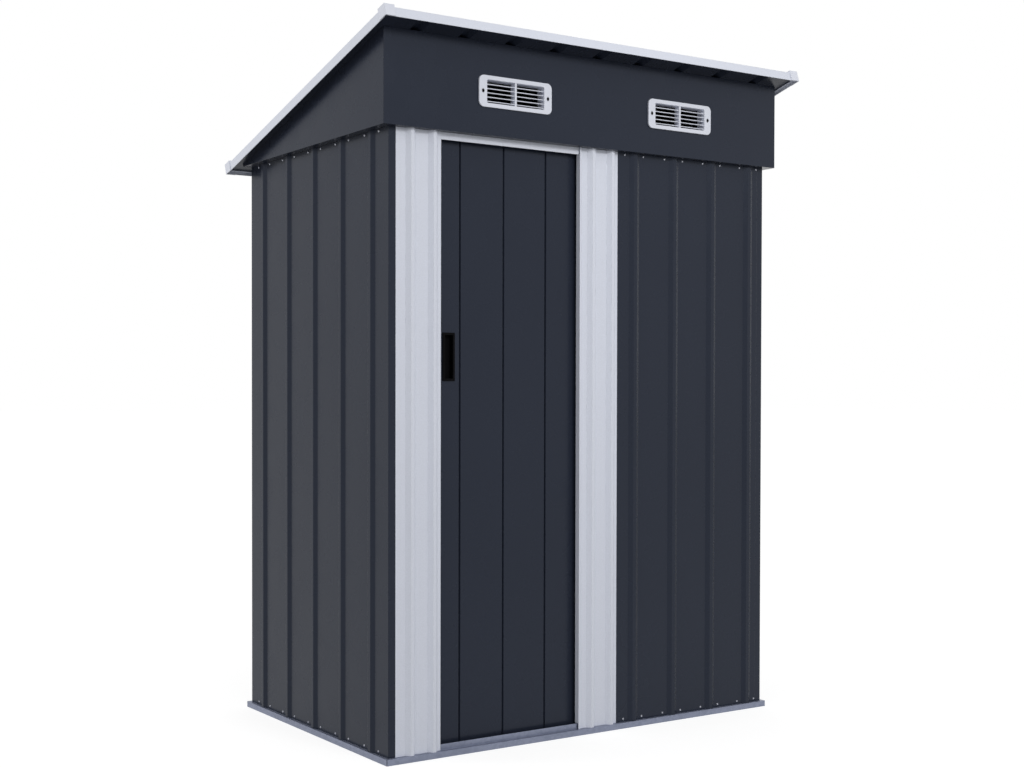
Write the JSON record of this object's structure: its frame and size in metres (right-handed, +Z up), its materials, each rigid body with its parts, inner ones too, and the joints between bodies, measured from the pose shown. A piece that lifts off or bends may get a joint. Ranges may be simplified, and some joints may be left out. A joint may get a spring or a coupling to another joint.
{
  "type": "metal tool shed",
  "caption": "Dark ribbed-steel tool shed with a single-slope roof, white door posts and roof trims, louvred gable vents and a sliding door on a galvanised base frame.",
  "frame": {"origin": "on the ground below the middle of the overall box", "axes": "+X to the right seen from the door side, +Y to the back, +Z up"},
  "size_m": [1.43, 0.8858, 1.8691],
  "materials": {
    "dark_paint": "satin",
    "white_paint": "satin",
    "white_plastic": "matte",
    "zinc": "satin",
    "black_plastic": "matte"
  },
  "bodies": {
    "shed": {"left_door_post": "white_paint", "right_door_post": "white_paint", "door_header": "white_paint", "roof_trim_front": "white_paint", "roof_trim_back": "white_paint", "roof_trim_left": "white_paint", "roof_trim_right": "white_paint", "left_vent": "white_plastic", "right_vent": "white_plastic", "roof_cap_front_left": "white_plastic", "roof_cap_front_right": "white_plastic", "roof_cap_back_left": "white_plastic", "roof_cap_back_right": "white_plastic", "base_rail_front": "zinc", "base_rail_back": "zinc", "base_rail_left": "zinc", "base_rail_right": "zinc", "door_track": "zinc", "top_rail_back": "zinc", "top_rail_left": "zinc", "top_rail_right": "zinc", "left_wall": "dark_paint", "right_wall": "dark_paint", "back_wall_left": "dark_paint", "back_wall_right": "dark_paint", "front_wall_right": "dark_paint", "front_gable": "dark_paint", "left_gable": "dark_paint", "right_gable": "dark_paint", "roof_sheet_left": "dark_paint", "roof_sheet_middle": "dark_paint", "roof_sheet_right": "dark_paint"},
    "door": {"door_panel": "dark_paint", "door_top_rail": "zinc", "door_bottom_rail": "zinc", "door_hanger_left": "black_plastic", "door_hanger_right": "black_plastic", "door_guide_left": "black_plastic", "door_guide_right": "black_plastic", "door_handle": "black_plastic"}
  },
  "joints": [
    {"name": "door_slide", "type": "slide", "parent": "shed", "child": "door", "axis": [1, 0, 0], "range_m": [0, 0.39]}
  ]
}
